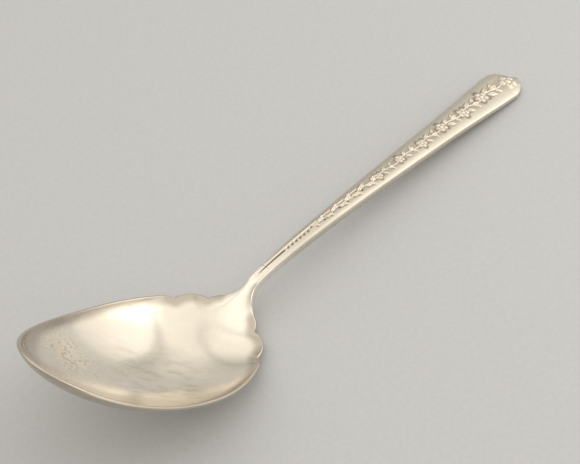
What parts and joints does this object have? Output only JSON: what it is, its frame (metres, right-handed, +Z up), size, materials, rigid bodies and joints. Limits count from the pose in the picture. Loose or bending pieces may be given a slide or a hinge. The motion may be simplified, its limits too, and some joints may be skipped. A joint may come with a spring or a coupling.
{
  "type": "sugar spoon",
  "caption": "Silver-plated sugar spoon with an upturned egg-shaped bowl, scalloped shoulders and a long handle that widens to a rounded end.",
  "frame": {"origin": "middle of the spoon's length, in its plane of symmetry, on the table it lies on", "axes": "+X from the bowl's tip to the handle's end, +Y across, +Z up from the table into the bowl's open side"},
  "size_m": [0.1538, 0.0366, 0.0368],
  "materials": {
    "bowl_plate": "worn polished silver plate",
    "handle_plate": "worn polished silver plate with struck relief",
    "silver_solder": "dull silver solder"
  },
  "bodies": {
    "root": {"bowl": "bowl_plate", "handle": "handle_plate", "solder_seam": "silver_solder"}
  },
  "joints": []
}
